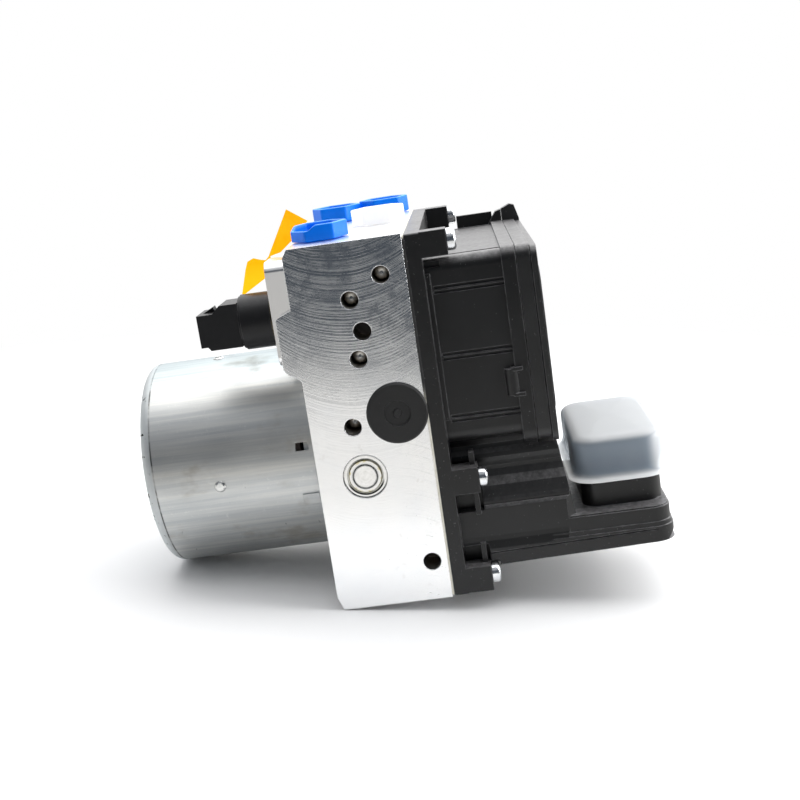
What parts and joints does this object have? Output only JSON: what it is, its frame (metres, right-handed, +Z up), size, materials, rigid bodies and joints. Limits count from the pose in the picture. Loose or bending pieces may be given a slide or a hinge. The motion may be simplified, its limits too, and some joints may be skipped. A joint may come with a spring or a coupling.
{
  "type": "anti-lock brake module",
  "caption": "Brake pressure control unit: metal valve block, pump motor on one side, plastic controller on the other, plugged line ports, pressure sensor and capped connector.",
  "frame": {"origin": "mouth of the threaded hole in the middle of the block's underside", "axes": "+X from the motor towards the controller, +Y across the block away from the side with the pressure sensor, +Z up towards the line ports"},
  "size_m": [0.2004, 0.127, 0.148],
  "materials": {
    "block": "machined, fine arcs",
    "steel": "ground",
    "can": "drawn and zinc plated",
    "rivet": "plated",
    "magnet": "matte",
    "lamination": "stacked sheet",
    "copper": "enamelled copper",
    "holder": "moulded",
    "carbon": "pressed carbon",
    "bronze": "sintered",
    "black": "moulded",
    "spring": "drawn wire",
    "plug_metal": "turned",
    "gasket": "cream",
    "housing": "satin, fine grain",
    "lid": "satin",
    "screw": "bright zinc",
    "board": "coated",
    "contact": "tinned",
    "cap": "milky, see-through",
    "valve": "turned",
    "blue": "soft gloss",
    "white": "soft gloss",
    "brass": "plated",
    "sensor": "satin",
    "tag": "thin film"
  },
  "bodies": {
    "unit": {"hydraulic_block": "block", "passage_balls": "steel", "motor_can": "can", "can_rivets": "rivet", "motor_magnets": "magnet", "end_shield": "can", "rear_bearing": "steel", "front_bearing": "steel", "brush_holder": "holder", "carbon_brushes": "carbon", "shaft_end_bearing": "bronze", "motor_feed": "black", "pump_spring_near": "spring", "pump_spring_far": "spring", "pump_plug_near": "plug_metal", "pump_plug_far": "plug_metal", "accumulator_spring_near": "spring", "accumulator_spring_far": "spring", "accumulator_cap_near": "black", "accumulator_cap_far": "black", "housing_gasket": "gasket", "ecu_housing": "housing", "ecu_lid": "lid", "ecu_screws": "screw", "circuit_board": "board", "board_components": "black", "connector_pins": "contact", "solenoid_coils": "copper", "inlet_valves": "valve", "outlet_valves": "valve", "valve_springs": "spring", "sensor_base": "brass", "sensor_housing": "sensor", "sensor_pins": "contact", "hang_tag": "tag"},
    "rotor": {"rotor_shaft": "steel", "armature_core": "lamination", "armature_windings": "copper", "commutator": "copper", "eccentric_bearing": "steel"},
    "pump_piston_near": {"pump_piston_near": "steel"},
    "pump_piston_far": {"pump_piston_far": "steel"},
    "accumulator_piston_near": {"accumulator_piston_near": "black"},
    "accumulator_piston_far": {"accumulator_piston_far": "black"},
    "connector_cap": {"connector_cap": "cap"},
    "port_plug_1": {"port_plug_1": "blue"},
    "port_plug_2": {"port_plug_2": "blue"},
    "port_plug_3": {"port_plug_3": "blue"},
    "port_plug_4": {"port_plug_4": "white"},
    "inlet_plug_1": {"inlet_plug_1": "blue"},
    "inlet_plug_2": {"inlet_plug_2": "blue"},
    "valve_plunger_1": {"valve_plunger_1": "steel"},
    "valve_plunger_2": {"valve_plunger_2": "steel"},
    "valve_plunger_3": {"valve_plunger_3": "steel"},
    "valve_plunger_4": {"valve_plunger_4": "steel"},
    "valve_plunger_5": {"valve_plunger_5": "steel"},
    "valve_plunger_6": {"valve_plunger_6": "steel"},
    "valve_plunger_7": {"valve_plunger_7": "steel"},
    "valve_plunger_8": {"valve_plunger_8": "steel"}
  },
  "joints": [
    {"name": "rotor_spin", "type": "hinge", "parent": "unit", "child": "rotor", "pos_m": [0, 0, 0.0503], "axis": [1, 0, 0], "continuous": true},
    {"name": "pump_piston_near_stroke", "type": "slide", "parent": "unit", "child": "pump_piston_near", "axis": [0, -1, 0], "range_m": [0, 0.0024], "stiffness_N_per_m": 2000, "springref_m": -0.002, "deforming": ["pump_spring_near"]},
    {"name": "accumulator_piston_near_travel", "type": "slide", "parent": "unit", "child": "accumulator_piston_near", "axis": [0, -1, 0], "range_m": [0, 0.008], "stiffness_N_per_m": 1500, "springref_m": -0.006, "deforming": ["accumulator_spring_near"]},
    {"name": "pump_piston_far_stroke", "type": "slide", "parent": "unit", "child": "pump_piston_far", "axis": [0, 1, 0], "range_m": [0, 0.0024], "stiffness_N_per_m": 2000, "springref_m": -0.002, "deforming": ["pump_spring_far"]},
    {"name": "accumulator_piston_far_travel", "type": "slide", "parent": "unit", "child": "accumulator_piston_far", "axis": [0, 1, 0], "range_m": [0, 0.008], "stiffness_N_per_m": 1500, "springref_m": -0.006, "deforming": ["accumulator_spring_far"]},
    {"name": "valve_1_stroke", "type": "slide", "parent": "unit", "child": "valve_plunger_1", "axis": [-1, 0, 0], "range_m": [0, 0.0003], "stiffness_N_per_m": 1000, "springref_m": -0.001},
    {"name": "valve_2_stroke", "type": "slide", "parent": "unit", "child": "valve_plunger_2", "axis": [-1, 0, 0], "range_m": [0, 0.0003], "stiffness_N_per_m": 1000, "springref_m": -0.001},
    {"name": "valve_3_stroke", "type": "slide", "parent": "unit", "child": "valve_plunger_3", "axis": [-1, 0, 0], "range_m": [0, 0.0003], "stiffness_N_per_m": 1000, "springref_m": -0.001},
    {"name": "valve_4_stroke", "type": "slide", "parent": "unit", "child": "valve_plunger_4", "axis": [-1, 0, 0], "range_m": [0, 0.0003], "stiffness_N_per_m": 1000, "springref_m": -0.001},
    {"name": "valve_5_stroke", "type": "slide", "parent": "unit", "child": "valve_plunger_5", "axis": [1, 0, 0], "range_m": [0, 0.0003], "stiffness_N_per_m": 1000, "springref_m": -0.001},
    {"name": "valve_6_stroke", "type": "slide", "parent": "unit", "child": "valve_plunger_6", "axis": [1, 0, 0], "range_m": [0, 0.0003], "stiffness_N_per_m": 1000, "springref_m": -0.001},
    {"name": "valve_7_stroke", "type": "slide", "parent": "unit", "child": "valve_plunger_7", "axis": [1, 0, 0], "range_m": [0, 0.0003], "stiffness_N_per_m": 1000, "springref_m": -0.001},
    {"name": "valve_8_stroke", "type": "slide", "parent": "unit", "child": "valve_plunger_8", "axis": [1, 0, 0], "range_m": [0, 0.0003], "stiffness_N_per_m": 1000, "springref_m": -0.001},
    {"name": "connector_cap_pull", "type": "slide", "parent": "unit", "child": "connector_cap", "axis": [0, 0, 1], "range_m": [0, 0.06]},
    {"name": "port_plug_1_pull", "type": "slide", "parent": "unit", "child": "port_plug_1", "axis": [0, 0, 1], "range_m": [0, 0.05]},
    {"name": "port_plug_2_pull", "type": "slide", "parent": "unit", "child": "port_plug_2", "axis": [0, 0, 1], "range_m": [0, 0.05]},
    {"name": "port_plug_3_pull", "type": "slide", "parent": "unit", "child": "port_plug_3", "axis": [0, 0, 1], "range_m": [0, 0.05]},
    {"name": "port_plug_4_pull", "type": "slide", "parent": "unit", "child": "port_plug_4", "axis": [0, 0, 1], "range_m": [0, 0.05]},
    {"name": "inlet_plug_1_pull", "type": "slide", "parent": "unit", "child": "inlet_plug_1", "axis": [-1, 0, 0], "range_m": [0, 0.05]},
    {"name": "inlet_plug_2_pull", "type": "slide", "parent": "unit", "child": "inlet_plug_2", "axis": [-1, 0, 0], "range_m": [0, 0.05]}
  ]
}
